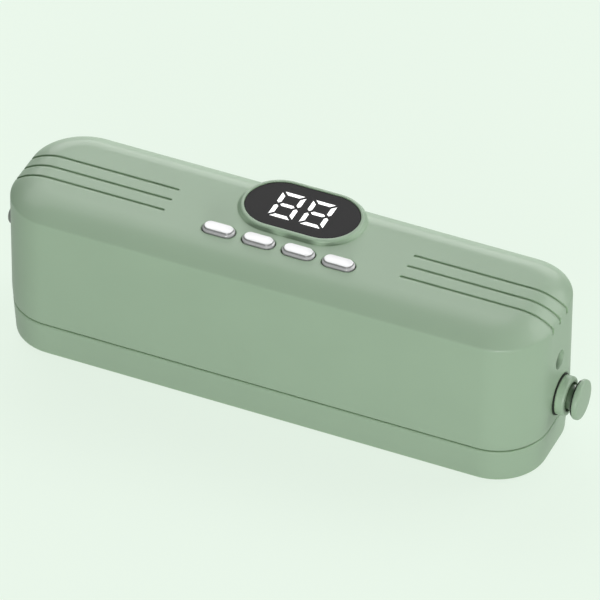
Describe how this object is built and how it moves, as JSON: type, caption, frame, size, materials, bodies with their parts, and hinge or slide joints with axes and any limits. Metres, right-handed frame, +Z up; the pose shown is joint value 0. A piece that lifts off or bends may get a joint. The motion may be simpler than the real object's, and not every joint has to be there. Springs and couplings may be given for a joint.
{
  "type": "handheld vacuum sealer",
  "caption": "Bar-shaped handheld vacuum sealer: hinged upper body with display, push buttons and vent knob on a shallow base with a sealing bar and vacuum trough.",
  "frame": {"origin": "on the resting plane, at the centre of the non-slip pad's underside, under the middle of the body", "axes": "+X along the body to the vent-knob end, +Y to the hinged back, +Z up"},
  "size_m": [0.2546, 0.0692, 0.0771],
  "materials": {
    "green_plastic": "satin sage green moulding",
    "white_button": "gloss white",
    "pale_plastic": "fine matt off-white moulding",
    "dark_plastic": "matt dark grey",
    "lens_plastic": "smoked lens",
    "lit_white": "lit white segment",
    "black_rubber": "matt black rubber",
    "grey_rubber": "matt grey rubber",
    "silicone": "matt heat-proof silicone",
    "release_cloth": "coated glass cloth",
    "steel": "bright steel",
    "cell_wrap": null,
    "board": "green circuit board",
    "clear_tube": "milky tube"
  },
  "bodies": {
    "base": {"base_shell": "green_plastic", "base_deck": "pale_plastic", "vacuum_tray": "pale_plastic", "non_slip_pad": "black_rubber", "lower_gasket": "grey_rubber", "press_strip": "silicone", "hinge_pins": "steel", "deck_screws": "steel"},
    "upper": {"upper_housing": "green_plastic", "chassis_plate": "pale_plastic", "upper_gasket": "grey_rubber", "heater_bed": "silicone", "heater_strip": "steel", "release_tape": "release_cloth", "air_nozzles": "pale_plastic", "pump_tube": "clear_tube", "vent_tube": "clear_tube", "pump_motor": "steel", "pump_bracket": "pale_plastic", "pump_head": "dark_plastic", "pump_cover": "dark_plastic", "battery_cells": "cell_wrap", "battery_cradle": "pale_plastic", "control_board": "board", "display_module": "dark_plastic", "display_lens": "lens_plastic", "display_digits": "lit_white", "tact_switches": "dark_plastic", "charge_socket": "dark_plastic", "lid_switch": "dark_plastic", "chassis_screws": "steel", "board_screws": "steel", "collar_seal": "black_rubber", "valve_collar": "green_plastic", "valve_nut": "steel", "valve_body": "dark_plastic", "valve_spring": "steel"},
    "button_1": {"button_1": "white_button"},
    "button_2": {"button_2": "white_button"},
    "button_3": {"button_3": "white_button"},
    "button_4": {"button_4": "white_button"},
    "vent_knob": {"knob_cap": "green_plastic", "knob_neck": "green_plastic", "knob_stem": "dark_plastic", "knob_washer": "black_rubber", "poppet_seal": "black_rubber"},
    "port_plug": {"port_plug": "grey_rubber"},
    "pump_crank": {"pump_crank": "steel"}
  },
  "joints": [
    {"name": "lid_hinge", "type": "hinge", "parent": "base", "child": "upper", "pos_m": [0, 0.0345, 0.0165], "axis": [-1, 0, 0], "range_deg": [0, 80]},
    {"name": "button_1_press", "type": "slide", "parent": "upper", "child": "button_1", "axis": [0, 0, -1], "range_m": [0, 0.0008], "stiffness_N_per_m": 900},
    {"name": "button_2_press", "type": "slide", "parent": "upper", "child": "button_2", "axis": [0, 0, -1], "range_m": [0, 0.0008], "stiffness_N_per_m": 900},
    {"name": "button_3_press", "type": "slide", "parent": "upper", "child": "button_3", "axis": [0, 0, -1], "range_m": [0, 0.0008], "stiffness_N_per_m": 900},
    {"name": "button_4_press", "type": "slide", "parent": "upper", "child": "button_4", "axis": [0, 0, -1], "range_m": [0, 0.0008], "stiffness_N_per_m": 900},
    {"name": "vent_press", "type": "slide", "parent": "upper", "child": "vent_knob", "axis": [-1, 0, 0], "range_m": [0, 0.0024], "stiffness_N_per_m": 600, "springref_m": -0.002, "deforming": ["valve_spring"]},
    {"name": "plug_pull", "type": "slide", "parent": "upper", "child": "port_plug", "axis": [-1, 0, 0], "range_m": [0, 0.009]},
    {"name": "crank_spin", "type": "hinge", "parent": "upper", "child": "pump_crank", "pos_m": [0.06, 0, 0.0396], "axis": [1, 0, 0], "continuous": true}
  ]
}
